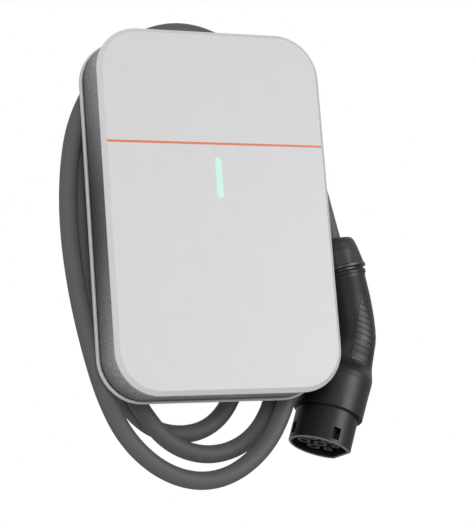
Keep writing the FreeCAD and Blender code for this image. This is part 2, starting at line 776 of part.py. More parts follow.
radio_board = block("radio_board", -38, 58, 46, 30, "board_thick", back=f"{board_front} + 8")
sketch = new_sketch(radio_board, depth=f"{board_front} + 8 + board_thick", right=-44, up=58)
rectangle(sketch, 24, 18, 1)
pad(radio_board, sketch, "3")
sketch = new_sketch(radio_board, depth=board_front, right=-38, up=46)
rectangle(sketch, 32, 4)
pad(radio_board, sketch, "8.2")

earth_bar = block("earth_bar", -8, -36, 52, 9, 9, back=rear_floor)
sketch = new_sketch(earth_bar, depth=f"{rear_floor} + 9")
for step in range(4):
    circle(sketch, "2.2", f"{12 * step - 26}", "-36")
pocket(earth_bar, sketch, "7")


# Screws, as groups of like ones. Each has a round head and a plain shank along Y.


def screws(label, places, seat, reach, head_radius, head_height, shank_radius, towards_wall=True):
    """Screws whose heads sit at the depth of seat and whose shanks run on by reach."""
    way = 1 if towards_wall else -1
    solids = []
    for right, up in places:
        foot = Vector(value(right), -value(seat), value(up))
        head = Part.makeCylinder(head_radius, head_height, foot, Vector(0, -way, 0))
        shank = Part.makeCylinder(shank_radius, value(reach), foot, Vector(0, way, 0))
        solids.append(head.fuse(shank).removeSplitter())
    item = document.addObject("Part::Feature", label)
    item.Shape = Part.makeCompound(solids)
    return keep(item, label)


screws("cover_screws", cover_posts, "rim_back + 2.6", "45", 3.9, 2.4, 1.5, towards_wall=False)
screws("housing_screws", joint_screws, floor_front, "20", 3.9, 2.6, 1.5)
screws("board_screws", board_screw_places, board_front, "7", 2.9, 2.0, 1.2)
screws("bracket_screws", fixing_screws, rear_floor, "7", 4.6, 3.0, 2.3)
screws("saddle_screws", saddle_screw_places, web_front, "6", 4.6, 3.0, 2.3)


# The outlet gland in the rear housing's bottom: threaded body, locknut, dome nut and seal.

across = {"right": "outlet_side", "up": "-outlet_depth", "role": "XY_Plane"}
outlet_thread = "12.5"
outlet_flats = "29"
outlet_bore = "cable_radius + 0.2"

gland_body = new_body("outlet_gland_body")
sketch = new_sketch(gland_body, depth=f"{bottom_outside} - 15", **across)
circle(sketch, outlet_thread)
pad(gland_body, sketch, "15 + rear_wall + 8")
sketch = new_sketch(gland_body, depth=f"{bottom_outside} - 6", **across)
hexagon(sketch, outlet_flats)
pad(gland_body, sketch, "6")
sketch = new_sketch(gland_body, depth=f"{bottom_outside} - 16", **across)
circle(sketch, outlet_bore)
pocket(gland_body, sketch, "40", forward=True)

locknut = new_body("outlet_gland_locknut")
sketch = new_sketch(locknut, depth=f"{bottom_outside} + rear_wall", **across)
hexagon(sketch, outlet_flats)
pad(locknut, sketch, "5")
sketch = new_sketch(locknut, depth=f"{bottom_outside} + rear_wall", **across)
circle(sketch, f"{outlet_thread} + 0.1")
pocket(locknut, sketch, "6", forward=True)

nut_top = f"{bottom_outside} - 6.5"
gland_nut = new_body("outlet_gland_nut")
sketch = new_sketch(gland_nut, depth=f"{nut_top} - 10", **across)
hexagon(sketch, outlet_flats)
pad(gland_nut, sketch, "10")
sketch = new_sketch(gland_nut, depth=f"{nut_top} - 17", **across)
circle(sketch, f"({outlet_flats}) / 2")
dome = pad(gland_nut, sketch, "7")
document.recompute()
low = min(edge.BoundBox.ZMin for edge in dome.Shape.Edges)
rims = [
    f"Edge{number}"
    for number, edge in enumerate(dome.Shape.Edges, start=1)
    if edge.BoundBox.ZMax < low + 0.01
]
rounding = gland_nut.newObject("PartDesign::Fillet", "rounding")
rounding.Base = (dome, rims)
rounding.Radius = 3.5
sketch = new_sketch(gland_nut, depth=f"{nut_top} - 9", **across)
circle(sketch, f"{outlet_thread} + 0.1")
pocket(gland_nut, sketch, "10", forward=True)
sketch = new_sketch(gland_nut, depth=f"{nut_top} - 14", **across)
circle(sketch, f"{outlet_thread} - 1")
pocket(gland_nut, sketch, "6", forward=True)
sketch = new_sketch(gland_nut, depth=f"{nut_top} - 18", **across)
circle(sketch, outlet_bore)
pocket(gland_nut, sketch, "6", forward=True)

gland_seal = new_body("outlet_gland_seal")
sketch = new_sketch(gland_seal, depth=f"{nut_top} - 14", **across)
circle(sketch, f"{outlet_thread} - 1")
circle(sketch, outlet_bore)
pad(gland_seal, sketch, "5")

# The supply cable comes out of the wall through a grommet in the back wall.
supply_grommet = new_body("supply_grommet")
for back, radius, length in (
    ("rear_back - 2", "supply_hole + 3", "2"),
    ("rear_back", "supply_hole", "rear_wall"),
    (rear_floor, "supply_hole + 3", "3"),
):
    sketch = new_sketch(supply_grommet, depth=back, up="supply_rise")
    circle(sketch, radius)
    pad(supply_grommet, sketch, length)
sketch = new_sketch(supply_grommet, depth="0", up="supply_rise")
circle(sketch, "supply_bore")
pocket(supply_grommet, sketch, "20", forward=True)

sleeve_length = "20"
sleeve_end = f"{bottom_outside} - 6.5 - 17 - {sleeve_length}"
taper = document.addObject("Part::Cone", "taper")
taper.Radius1 = 10
taper.Radius2 = 12.5
hollow = document.addObject("Part::Cylinder", "hollow")
bind(hollow, "Radius", "cable_radius + 0.5")
for item in (taper, hollow):
    bind(item, "Height", sleeve_length)
    bind(item, ".Placement.Base.x", "outlet_side")
    bind(item, ".Placement.Base.y", "-outlet_depth")
    bind(item, ".Placement.Base.z", sleeve_end)
bend_sleeve = document.addObject("Part::Cut", "outlet_bend_sleeve")
bend_sleeve.Base = taper
bend_sleeve.Tool = hollow
keep(bend_sleeve, "outlet_bend_sleeve")

strain_clamp = new_body("outlet_strain_clamp")
sketch = new_sketch(
    strain_clamp, depth="-61", right="outlet_side - 2", up="-outlet_depth", role="XY_Plane"
)
rectangle(sketch, 22, "2 * (outlet_depth - rear_back - rear_wall)", 3)
pad(strain_clamp, sketch, "12")
sketch = new_sketch(
    strain_clamp, depth="-61", right="outlet_side", up="-outlet_depth", role="XY_Plane"
)
circle(sketch, outlet_bore)
pocket(strain_clamp, sketch, "13", forward=True)


# The charging cable: straight runs joined by tangent arcs, then one round sweep.


def tube_path(points):
    """Lines and arcs along a route. Each arc takes 0.45 of the shorter of its two runs."""
    edges = []
    radii = []
    start = points[0]
    for before, corner, after in zip(points, points[1:], points[2:]):
        run_in = corner - before
        run_out = after - corner
        turn = run_in.getAngle(run_out)
        reach = 0.45 * min(run_in.Length, run_out.Length)
        radii.append(reach / math.tan(turn / 2))
        arc_start = corner - run_in.normalize() * reach
        arc_end = corner + run_out.normalize() * reach
        inward = (arc_start + arc_end) * 0.5 - corner
        to_centre = math.hypot(radii[-1], reach)
        arc_middle = corner + inward.normalize() * (to_centre - radii[-1])
        edges.append(Part.LineSegment(start, arc_start).toShape())
        edges.append(Part.Arc(arc_start, arc_middle, arc_end).toShape())
        start = arc_end
    edges.append(Part.LineSegment(start, points[-1]).toShape())
    return Part.Wire(edges), radii


route = [Vector(*point) for point in CABLE_ROUTE]
path, bend_radii = tube_path(route)
cable_radius = value("cable_radius")
ring = Part.Wire(Part.makeCircle(cable_radius, route[0], route[1] - route[0]))
charging_cable = document.addObject("Part::Feature", "charging_cable")
charging_cable.Shape = path.makePipeShell([ring], True, True)
keep(charging_cable, "charging_cable")
print("cable length", round(path.Length, 1))
print("bend radii", [round(radius) for radius in bend_radii])


# The connector, in a frame of its own: the nose's axis is Z, its mouth is at zero and
# faces down, and the flat of the nose is towards +X. The handle leans towards -X.

# Centre of each section, how far it leans, and its half width and half depth.
HANDLE_SECTIONS = [
    (0.0, 34.0, 0, "head_radius - 1.6", "head_radius - 2.6"),
    (0.0, 35.5, 0, "head_radius - 0.6", "head_radius - 1.8"),
    (0.0, 61.0, 1, "head_radius", "head_radius - 1.8"),
    (0.8, 74.0, 3, "head_radius - 0.4", "head_radius - 2.2"),
    (4.0, 83.0, 5, "head_radius - 4.6", "grip_radius - 1"),
    (6.4, 90.0, 6, "grip_radius + 1.8", "grip_radius - 4.6"),
    (6.4, 99.0, 8, "grip_radius + 0.6", "grip_radius - 3.2"),
    (5.9, 108.0, 10, "grip_radius", "grip_radius - 1.4"),
    (5.0, 118.0, 12, "grip_radius - 0.6", "grip_radius - 1.2"),
    (-0.4, 133.6, 18, "grip_radius - 1", "grip_radius - 1.6"),
    (-8.9, 152.0, 26, "grip_radius - 1.2", "grip_radius - 2.3"),
    (-17.3, 169.7, 31, "grip_radius - 2.3", "grip_radius - 3.9"),
    (-18.9, 172.7, 32, "grip_radius - 0.8", "grip_radius - 2.7"),
    (-20.4, 175.1, 32, "grip_radius - 0.8", "grip_radius - 2.7"),
    (-21.0, 176.1, 32, "grip_radius - 1.9", "grip_radius - 3.9"),
]
# The cap's sections along its axis, from the seam at the handle's end.
cap_lean = 32
CAP_SECTIONS = [
    (0.0, "grip_radius - 4.4"),
    (2.1, "grip_radius - 4.4"),
    (2.3, "grip_radius + 0.5"),
    (2.8, "grip_radius + 0.8"),
    (5.0, "grip_radius + 0.8"),
    (5.8, "grip_radius - 0.3"),
    (20.0, "grip_radius - 1.8"),
    (27.0, "grip_radius - 3"),
    (30.5, "grip_radius - 4.2"),
    (32.6, "grip_radius - 5.8"),
    (33.6, "grip_radius - 8.4"),
]


def section(side, rise, lean, half_width, half_depth):
    """An ellipse across the handle."""
    ellipse = document.addObject("Part::Ellipse", "section")
    ellipse.Placement = Placement(Vector(side, 0, rise), Rotation(Vector(0, 1, 0), -lean))
    bind(ellipse, "MajorRadius", half_width)
    bind(ellipse, "MinorRadius", half_depth)
    return ellipse


def loft(sections):
    item = document.addObject("Part::Loft", "loft")
    item.Sections = sections
    item.Solid = True
    item.Ruled = True
    return item


def halfway(rows, index):
    """The section halfway between two rows, on a smooth curve through their neighbours."""
    near = [rows[max(0, min(len(rows) - 1, index + step))] for step in (-1, 0, 1, 2)]
    weights = (-0.0625, 0.5625, 0.5625, -0.0625)
    side, rise, lean = (sum(w * row[column] for w, row in zip(weights, near)) for column in range(3))
    width, depth = (
        " + ".join(f"({weight}) * ({row[column]})" for weight, row in zip(weights, near))
        for column in (3, 4)
    )
    return side, rise, lean, width, depth


def handle(inset):
    """The handle's whole form, or a form set in all round that is a little longer."""
    rows = [HANDLE_SECTIONS[0]]
    for index in range(1, len(HANDLE_SECTIONS) - 1):
        rows.append(HANDLE_SECTIONS[index])
        rows.append(halfway(HANDLE_SECTIONS, index))
    rows.append(HANDLE_SECTIONS[-1])
    overlong = min(value(inset), 1)
    sections = []
    for index, (side, rise, lean, half_width, half_depth) in enumerate(rows):
        way = {0: -overlong, len(rows) - 1: overlong}.get(index, 0)
        side -= way * math.sin(math.radians(lean))
        rise += way * math.cos(math.radians(lean))
        sections.append(
            section(side, rise, lean, f"{half_width} - ({inset})", f"{half_depth} - ({inset})")
        )
    return loft(sections)


def boolean(kind, base, tool):
    item = document.addObject("Part::" + kind, kind.lower())
    item.Base = base
    item.Tool = tool
    return item


connector_place = (
    "placement(vector(sizes.connector_side; -sizes.connector_depth; sizes.connector_drop); "
    "rotation(vector(0; 1; 0); sizes.connector_tilt) * rotation(vector(1; 0; 0); sizes.connector_swing))"
)


def on_connector(item, label):
    """Moves a piece from the connector's own frame to where it hangs."""
    item.setExpression("Placement", connector_place)
    return keep(item, label)


whole_handle = handle(0)
handle_core = handle("shell_wall")
pad_skin = handle("-grip_proud")
pad_bed = handle("grip_bed")
groove_bed = handle("grip_groove / 2")

# The leaf outline of the ribbed grip, seen from the front.
leaf = document.addObject("PartDesign::Body", "leaf")
sketch = new_sketch(leaf, depth="-60")
tip = Vector(-4.5, 150.5, 0)
heel = Vector(0.5, 92.5, 0)
toe = Vector(19.5, 89.5, 0)
left_edge = sketch.addGeometry(Part.LineSegment(tip, heel))
low_edge = sketch.addGeometry(Part.Arc(heel, Vector(9.5, 85.5, 0), toe))
right_edge = sketch.addGeometry(Part.Arc(toe, Vector(17, 118, 0), tip))
for first, last in ((left_edge, low_edge), (low_edge, right_edge), (right_edge, left_edge)):
    link(sketch, "Coincident", first, 2, last, 1)
pad(leaf, sketch, "120")

groove_boxes = []
for step in range(10):
    groove = document.addObject("Part::Box", "groove")
    groove.Length = 60
    groove.Width = 100
    groove.Placement.Base = Vector(-25, -50, 0)
    bind(groove, "Height", "grip_groove")
    bind(groove, ".Placement.Base.z", f"grip_start + {step} * grip_pitch")
    groove_boxes.append(groove)
groove_rack = document.addObject("Part::Compound", "groove_rack")
groove_rack.Links = groove_boxes

grip_zone = boolean("Common", leaf, boolean("Cut", pad_skin, pad_bed))
groove_zone = boolean("Cut", grip_zone, groove_bed)
grooves = boolean("Common", groove_zone, groove_rack)
on_connector(boolean("Cut", grip_zone, grooves), "grip_pads")

# The recess that the vehicle's bolt locks into, on the side of the nose's flat.
lock_recess = document.addObject("Part::Box", "lock_recess")
bind(lock_recess, ".Placement.Base.x", "head_radius - 2")
lock_recess.Length = 10
lock_recess.Width = 18
lock_recess.Height = 4.5
bind(lock_recess, ".Placement.Base.y", "-9")
bind(lock_recess, ".Placement.Base.z", "nose_length + 10")

hollow_handle = boolean("Cut", boolean("Cut", whole_handle, handle_core), lock_recess)
shell = boolean("Cut", hollow_handle, grip_zone)


def half_space(low):
    """A box that holds everything of the connector on one side of its middle plane."""
    item = document.addObject("Part::Box", "half_space")
    item.Length = 200
    item.Width = 100
    item.Height = 300
    item.Placement = Placement(Vector(-100, low, -20), Rotation())
    return item


on_connector(boolean("Common", shell, half_space(-100)), "connector_front_shell")
on_connector(boolean("Common", shell, half_space(0)), "connector_rear_shell")

# The cap at the handle's end, round the cable.
seam_side, seam_rise = HANDLE_SECTIONS[-1][:2]
cap_sections = []
for along, half_width in CAP_SECTIONS:
    side = seam_side - along * math.sin(math.radians(cap_lean))
    rise = seam_rise + along * math.cos(math.radians(cap_lean))
    cap_sections.append(section(side, rise, cap_lean, half_width, f"{half_width} - 2"))
cap_bore = document.addObject("Part::Cylinder", "cap_bore")
bind(cap_bore, "Radius", "cable_radius + 0.5")
cap_bore.Height = 60
cap_bore.Placement = Placement(Vector(seam_side, 0, seam_rise), Rotation(Vector(0, 1, 0), -cap_lean))
cap_form = boolean("Cut", loft(cap_sections), cap_bore)
for turn in (-65, 65):
    flat_side = document.addObject("Part::Box", "flat_side")
    flat_side.Length = 10
    flat_side.Width = 60
    flat_side.Height = 40
    out = cap_bore.Placement.Rotation * Rotation(Vector(0, 0, 1), turn)
    corner = Vector(value("grip_radius - 3.9"), -30, 5.8)
    flat_side.Placement = Placement(cap_bore.Placement.Base + out.multVec(corner), out)
    cap_form = boolean("Cut", cap_form, flat_side)
on_connector(cap_form, "connector_cap")

cable_collar = document.addObject("Part::Cylinder", "cable_collar")
collar_bore = document.addObject("Part::Cylinder", "collar_bore")
bind(cable_collar, "Radius", "cable_radius + 5")
bind(collar_bore, "Radius", "cable_radius + 0.1")
for item in (cable_collar, collar_bore):
    item.Height = 9
    item.Placement = Placement(
        Vector(seam_side, 0, seam_rise) + cap_bore.Placement.Rotation.multVec(Vector(0, 0, -10)),
        cap_bore.Placement.Rotation,
    )
on_connector(boolean("Cut", cable_collar, collar_bore), "connector_cable_collar")


def flat_circle(sketch, radius, flat):
    """A circle with one flat, on the side of the sketch's first axis."""
    reach = value(radius)
    angle = math.acos(value(flat) / reach)
    rise = reach * math.sin(angle)
    whole = Part.Circle(Vector(0, 0, 0), Vector(0, 0, 1), reach)
    arc = sketch.addGeometry(Part.ArcOfCircle(whole, angle, 2 * math.pi - angle))
    chord = sketch.addGeometry(
        Part.LineSegment(Vector(value(flat), -rise, 0), Vector(value(flat), rise, 0))
    )
    link(sketch, "Coincident", arc, 3, -1, 1)
    link(sketch, "Coincident", arc, 2, chord, 1)
    link(sketch, "Coincident", chord, 2, arc, 1)
    link(sketch, "Vertical", chord)
    constrain(sketch, "Radius", (arc,), radius)
    constrain(sketch, "DistanceX", (-1, 1, chord, 1), flat)


flange_radius = "nose_radius - 1.4"
carrier_gap = 0.1
shoulder = "28"

connector_nose = on_connector(
    document.addObject("PartDesign::Body", "connector_nose"), "connector_nose"
)
sketch = new_sketch(connector_nose, role="XY_Plane")
flat_circle(sketch, "nose_radius", "nose_flat")
tube = pad(connector_nose, sketch, "nose_length")
document.recompute()
mouth = [
    f"Edge{number}" for number, edge in enumerate(tube.Shape.Edges, start=1) if edge.BoundBox.ZMax < 0.01
]
mouth_edge = connector_nose.newObject("PartDesign::Chamfer", "mouth_edge")
mouth_edge.Base = (tube, mouth)
mouth_edge.Size = 0.8
sketch = new_sketch(connector_nose, depth="nose_length", role="XY_Plane")
circle(sketch, flange_radius)
pad(connector_nose, sketch, "10")
sketch = new_sketch(connector_nose, role="XY_Plane")
flat_circle(sketch, "nose_radius - nose_wall", "nose_flat - nose_wall")
pocket(connector_nose, sketch, shoulder, forward=True)
sketch = new_sketch(connector_nose, role="XY_Plane")
circle(sketch, "nose_flat - nose_wall - 2")
pocket(connector_nose, sketch, "60", forward=True)
for side, rise, width, height, forward in (
    ("1", "9.5", "7.6", "12", True),
    ("3.5", "11", "7", "9", False),
):
    sketch = new_sketch(connector_nose, right=side, up=rise)
    rectangle(sketch, width, height, 0.8)
    pocket(connector_nose, sketch, "40", forward=forward)
sketch = new_sketch(connector_nose, role="YZ_Plane", up="10.5")
rectangle(sketch, 8, 12, 0.8)
pocket(connector_nose, sketch, "40")

# Five power contacts and two signal contacts, each in a tower of the carrier.
power_places = [("0", "0"), ("0", "15"), ("0", "-15"), ("-13.8", "8"), ("-13.8", "-8")]
signal_places = [("12.6", "8.2"), ("12.6", "-8.2")]

contact_carrier = on_connector(
    document.addObject("PartDesign::Body", "contact_carrier"), "contact_carrier"
)
sketch = new_sketch(contact_carrier, depth=f"{shoulder} - 5", role="XY_Plane")
flat_circle(
    sketch, f"nose_radius - nose_wall - {carrier_gap}", f"nose_flat - nose_wall - {carrier_gap}"
)
pad(contact_carrier, sketch, "5")
sketch = new_sketch(contact_carrier, depth=shoulder, role="XY_Plane")
circle(sketch, f"nose_flat - nose_wall - 2 - {carrier_gap}")
pad(contact_carrier, sketch, "16")
for places, tower, bore in ((power_places, "6.6", "3.6"), (signal_places, "4.4", "2.1")):
    sketch = new_sketch(contact_carrier, depth="4", role="XY_Plane")
    for right, up in places:
        circle(sketch, tower, right, up)
    pad(contact_carrier, sketch, "20")
    sketch = new_sketch(contact_carrier, depth="4", role="XY_Plane")
    for right, up in places:
        circle(sketch, bore, right, up)
    pocket(contact_carrier, sketch, "60", forward=True)


def contacts(label, places, radius, wall):
    """Round contacts, each a tube towards the mouth with a solid tail."""
    solids = []
    for right, up in places:
        foot = Vector(value(right), value(up), 7)
        tube = Part.makeCylinder(radius, 40, foot)
        solids.append(tube.cut(Part.makeCylinder(radius - wall, 24, foot)))
    item = document.addObject("Part::Feature", label)
    item.Shape = Part.makeCompound(solids)
    return on_connector(item, label)


contacts("power_contacts", power_places, 3.5, 0.5)
contacts("signal_contacts", signal_places, 2.0, 0.45)


# Every object is checked, then each piece is written under its own label.

document.recompute()
for item in document.Objects:
    if "Invalid" in item.State or "Error" in item.State:
        raise RuntimeError(f"{item.Name} ({item.Label}) is {item.State}")
    if item.TypeId == "PartDesign::Pocket":
        taken = item.BaseFeature.Shape.Volume - item.Shape.Volume
        if taken < 0.5:
            raise RuntimeError(f"{item.Name} in {item.getParent().Label} cuts nothing")
for piece in pieces:
    if piece.Shape.isNull() or not piece.Shape.isValid():
        raise RuntimeError(f"{piece.Label} has no valid shape")

expected = math.pi * cable_radius**2 * path.Length
print("cable volume against section times length", charging_cable.Shape.Volume / expected)

os.makedirs("parts", exist_ok=True)
for piece in pieces:
    piece.Shape.exportStep(f"parts/{piece.Label}.step")
print(len(pieces), "pieces written")
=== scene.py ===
import json
import math

import bpy
from mathutils import Matrix, Vector


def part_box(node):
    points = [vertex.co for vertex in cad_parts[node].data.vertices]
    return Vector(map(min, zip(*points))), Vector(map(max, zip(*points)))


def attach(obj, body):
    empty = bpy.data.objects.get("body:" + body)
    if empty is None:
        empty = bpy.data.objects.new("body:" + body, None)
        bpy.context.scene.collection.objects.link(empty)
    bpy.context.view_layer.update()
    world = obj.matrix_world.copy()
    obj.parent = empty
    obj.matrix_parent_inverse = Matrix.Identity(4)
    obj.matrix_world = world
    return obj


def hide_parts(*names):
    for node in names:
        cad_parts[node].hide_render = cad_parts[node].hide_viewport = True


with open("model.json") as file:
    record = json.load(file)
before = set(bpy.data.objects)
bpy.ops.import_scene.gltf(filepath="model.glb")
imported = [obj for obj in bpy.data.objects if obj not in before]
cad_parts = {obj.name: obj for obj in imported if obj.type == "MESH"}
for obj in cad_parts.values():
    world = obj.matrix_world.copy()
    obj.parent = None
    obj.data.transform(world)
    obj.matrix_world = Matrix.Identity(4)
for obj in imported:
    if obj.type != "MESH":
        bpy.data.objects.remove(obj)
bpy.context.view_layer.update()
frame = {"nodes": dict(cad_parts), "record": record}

# The charger hangs on a wall at Y = 0. +X is to the right, +Y into the wall, +Z up, in metres.

# The camera, fitted to the straight edges of the cover, the rim and the stripe.
CAMERA_PLACE = Vector((-0.636994, -1.619461, -0.355785))
CAMERA_RIGHT = Vector((0.92097638, -0.38219996, -0.0756683))
CAMERA_UP = Vector((-0.00182967, -0.19845178, 0.98010895))
CAMERA_LENS = 124.628
CAMERA_SENSOR = 36.0

# The centre line of the charging cable, from the clamp inside the rear housing
# down and three times up, over the saddle and down again, to the connector.
CABLE_ROUTE = [
    (0.0440, -0.0220, -0.0450),
    (0.0441, -0.0220, -0.1040),
    (0.0435, -0.0217, -0.1570),
    (0.0120, -0.0175, -0.1935),
    (-0.0360, -0.0130, -0.1945),
    (-0.0715, -0.0120, -0.1620),
    (-0.0810, -0.0120, -0.0990),
    (-0.0850, -0.0120, -0.0350),
    (-0.0853, -0.0120, 0.0280),
    (-0.0815, -0.0120, 0.0880),
    (-0.0784, -0.0120, 0.1386),
    (-0.0484, -0.0120, 0.1798),
    (0.0000, -0.0120, 0.1954),
    (0.0484, -0.0120, 0.1798),
    (0.0784, -0.0120, 0.1386),
    (0.0840, -0.0140, 0.0860),
    (0.0900, -0.0190, 0.0300),
    (0.0930, -0.0250, -0.0300),
    (0.0900, -0.0290, -0.0850),
    (0.0840, -0.0310, -0.1300),
    (0.0735, -0.0310, -0.1740),
    (0.0480, -0.0310, -0.2060),
    (0.0075, -0.0310, -0.2185),
    (-0.0330, -0.0310, -0.2060),
    (-0.0600, -0.0310, -0.1710),
    (-0.0810, -0.0310, -0.1250),
    (-0.0970, -0.0310, -0.0750),
    (-0.1040, -0.0310, -0.0200),
    (-0.1045, -0.0310, 0.0360),
    (-0.0980, -0.0310, 0.0870),
    (-0.0836, -0.0310, 0.1310),
    (-0.0484, -0.0310, 0.1798),
    (0.0000, -0.0310, 0.1954),
    (0.0484, -0.0310, 0.1798),
    (0.0836, -0.0310, 0.1310),
    (0.0980, -0.0340, 0.0850),
    (0.1060, -0.0390, 0.0350),
    (0.1080, -0.0440, -0.0200),
    (0.1040, -0.0480, -0.0750),
    (0.0960, -0.0500, -0.1240),
    (0.0830, -0.0500, -0.1680),
    (0.0600, -0.0500, -0.2090),
    (0.0250, -0.0500, -0.2360),
    (-0.0120, -0.0500, -0.2435),
    (-0.0490, -0.0500, -0.2315),
    (-0.0800, -0.0500, -0.2030),
    (-0.0990, -0.0500, -0.1640),
    (-0.1120, -0.0500, -0.1120),
    (-0.1210, -0.0500, -0.0580),
    (-0.1250, -0.0500, -0.0020),
    (-0.1220, -0.0500, 0.0500),
    (-0.1120, -0.0500, 0.0980),
    (-0.0860, -0.0500, 0.1430),
    (-0.0484, -0.0500, 0.1805),
    (0.0000, -0.0500, 0.1954),
    (0.0460, -0.0500, 0.1810),
    (0.0840, -0.0490, 0.1490),
    (0.1189, -0.0420, 0.1072),
    (0.1384, -0.0335, 0.0591),
    (0.1537, -0.0269, -0.0004),
    (0.1640, -0.0294, -0.0554),
]
CABLE_DIAMETER = 0.017

# The plainer finishes, by slot: colour and roughness of the plastics and metals, and colour
# of the rubbers.
PLAIN_PLASTICS = {
    "rear_grey": ((0.12, 0.12, 0.13), 0.5),
    "saddle_dark": ((0.05, 0.05, 0.055), 0.5),
    "relay_black": ((0.02, 0.02, 0.02), 0.45),
    "terminal_grey": ((0.42, 0.43, 0.44), 0.5),
    "sensor_black": ((0.03, 0.03, 0.035), 0.5),
    "transformer_yellow": ((0.55, 0.42, 0.08), 0.5),
    "capacitor_sleeve": ((0.03, 0.03, 0.05), 0.25),
    "gland_plastic": ((0.10, 0.10, 0.105), 0.5),
    "clamp_plastic": ((0.10, 0.10, 0.10), 0.5),
}
METALS = {
    "bracket_steel": ((0.55, 0.56, 0.57), 0.42),
    "earth_brass": ((0.70, 0.52, 0.22), 0.3),
    "screw_steel": ((0.60, 0.61, 0.62), 0.35),
    "contact_silver": ((0.75, 0.74, 0.72), 0.25),
    "collar_steel": ((0.5, 0.5, 0.5), 0.4),
}
RUBBERS = {
    "seal_rubber": (0.03, 0.03, 0.03),
    "gland_rubber": (0.02, 0.02, 0.02),
    "sleeve_rubber": (0.025, 0.025, 0.025),
}

# Noise seldom leaves this range.
COMMON_NOISE = (0.35, 0.65)

# How much of a colour the painted shade leaves in a deep crevice, and how many rays look for the
# crevice.
CREVICE_SHADE = 0.15
CREVICE_SAMPLES = 8

# The lamps point at the middle of the box.
LAMPS_AIM = Vector((0, -0.06, 0))

# The world's even light, and the white that is seen behind the object.
FILL_STRENGTH = 0.5
BACKDROP_STRENGTH = 1.0
WHITE = (1, 1, 1, 1)

# The floor reaches this far to each side, and lies this far below the middle of the box.
FLOOR_REACH = 8.0
FLOOR_DROP = 1.0


# Nodes


def node(owner, kind, inputs=None, **settings):
    """A new node of a material or the world. Each input gets a value, or another node's output."""
    tree = owner.node_tree
    made = tree.nodes.new(kind)
    for name, setting in settings.items():
        setattr(made, name, setting)
    for name, source in (inputs or {}).items():
        if isinstance(source, bpy.types.NodeSocket):
            tree.links.new(source, made.inputs[name])
        else:
            made.inputs[name].default_value = source
    return made


def feed(material, name, output):
    """Lets another node's output steer an input of the material's shader."""
    principled = material.node_tree.nodes["Principled BSDF"]
    material.node_tree.links.new(output, principled.inputs[name])


def calculate(owner, operation, *values):
    """The outcome of one operation on one or two values."""
    return node(owner, "ShaderNodeMath", dict(enumerate(values)), operation=operation).outputs["Value"]


def object_place(material):
    """The place on the object, which is the place in the frame."""
    return node(material, "ShaderNodeTexCoord").outputs["Object"]


def noise(material, scale, detail=2.0):
    """Noise through the object. scale is per metre."""
    inputs = {"Vector": object_place(material), "Scale": scale, "Detail": detail}
    return node(material, "ShaderNodeTexNoise", inputs).outputs["Fac"]


def remap(material, value, source, target):
    """Turns a value from one range into another, and holds it at the ends."""
    inputs = {
        "Value": value,
        "From Min": source[0],
        "From Max": source[1],
        "To Min": target[0],
        "To Max": target[1],
    }
    return node(material, "ShaderNodeMapRange", inputs).outputs["Result"]


def ramp(material, value, stops):
    """Turns a value into a colour. stops are pairs of value and colour, the lowest first."""
    made = node(material, "ShaderNodeValToRGB", {"Fac": value})
    elements = made.color_ramp.elements
    for element, (position, colour) in zip(elements, (stops[0], stops[-1])):
        element.position = position
        element.color = (*colour, 1)
    for position, colour in stops[1:-1]:
        elements.new(position).color = (*colour, 1)
    return made.outputs["Color"]


def scaled(material, colour, factor):
    """A colour times a factor, both of them outputs of other nodes."""
    inputs = {"Vector": colour, "Scale": factor}
    return node(material, "ShaderNodeVectorMath", inputs, operation="SCALE").outputs["Vector"]


# Surfaces


def shader(name, colour, roughness, metallic=0.0, specular=0.5):
    """A material that is the same all over."""
    material = bpy.data.materials.new(name)
    material.use_nodes = True
    inputs = material.node_tree.nodes["Principled BSDF"].inputs
    inputs["Base Color"].default_value = (*colour, 1)
    inputs["Roughness"].default_value = roughness
    inputs["Metallic"].default_value = metallic
    inputs["Specular IOR Level"].default_value = specular
    return material


def grain(material, scale, height):
    """A fine bump over the whole surface. height is in metres."""
    inputs = {"Distance": height, "Height": noise(material, scale)}
    feed(material, "Normal", node(material, "ShaderNodeBump", inputs).outputs["Normal"])


def shade(colour, factor):
    """A colour made darker or lighter."""
    return tuple(channel * factor for channel in colour)


def mottle(material, scale, colour, spread):
    """Lets the colour wander between two near shades."""
    low, high = COMMON_NOISE
    stops = [(low, shade(colour, 1 - spread)), (high, shade(colour, 1 + spread))]
    feed(material, "Base Color", ramp(material, noise(material, scale, detail=3.0), stops))


def gloss_variation(material, scale, roughness, spread):
    """Lets the roughness wander a little to either side."""
    target = (roughness - spread, roughness + spread)
    wander = remap(material, noise(material, scale), source=(0.0, 1.0), target=target)
    feed(material, "Roughness", wander)


def painted_crevice_shade(material, colour, reach, black, full):
    """Painted shade: darkens the colour where surfaces within reach leave it little light.

    black and full are the shares of light up to which it is darkest and from which it is whole.
    """
    inputs = {"Distance": reach}
    light = node(material, "ShaderNodeAmbientOcclusion", inputs, samples=CREVICE_SAMPLES).outputs["AO"]
    stops = [(black, shade(colour, CREVICE_SHADE)), (full, colour)]
    feed(material, "Base Color", ramp(material, light, stops))


# Materials


def moulded_plastic(
    name, colour, roughness, grain_scale=1400, grain_height=0.00003, spread=0.03, specular=0.25
):
    """Moulded plastic: a fine texture, a slightly uneven gloss and a slightly uneven colour."""
    material = shader(name, colour, roughness, specular=specular)
    grain(material, grain_scale, grain_height)
    mottle(material, scale=55, colour=colour, spread=spread)
    gloss_variation(material, scale=120, roughness=roughness, spread=0.05)
    return material


def smooth_plastic(name, colour, roughness, spread):
    """The satin face of the cover and of its stripe."""
    return moulded_plastic(
        name, colour, roughness, grain_scale=2200, grain_height=0.000006, spread=spread, specular=0.15
    )


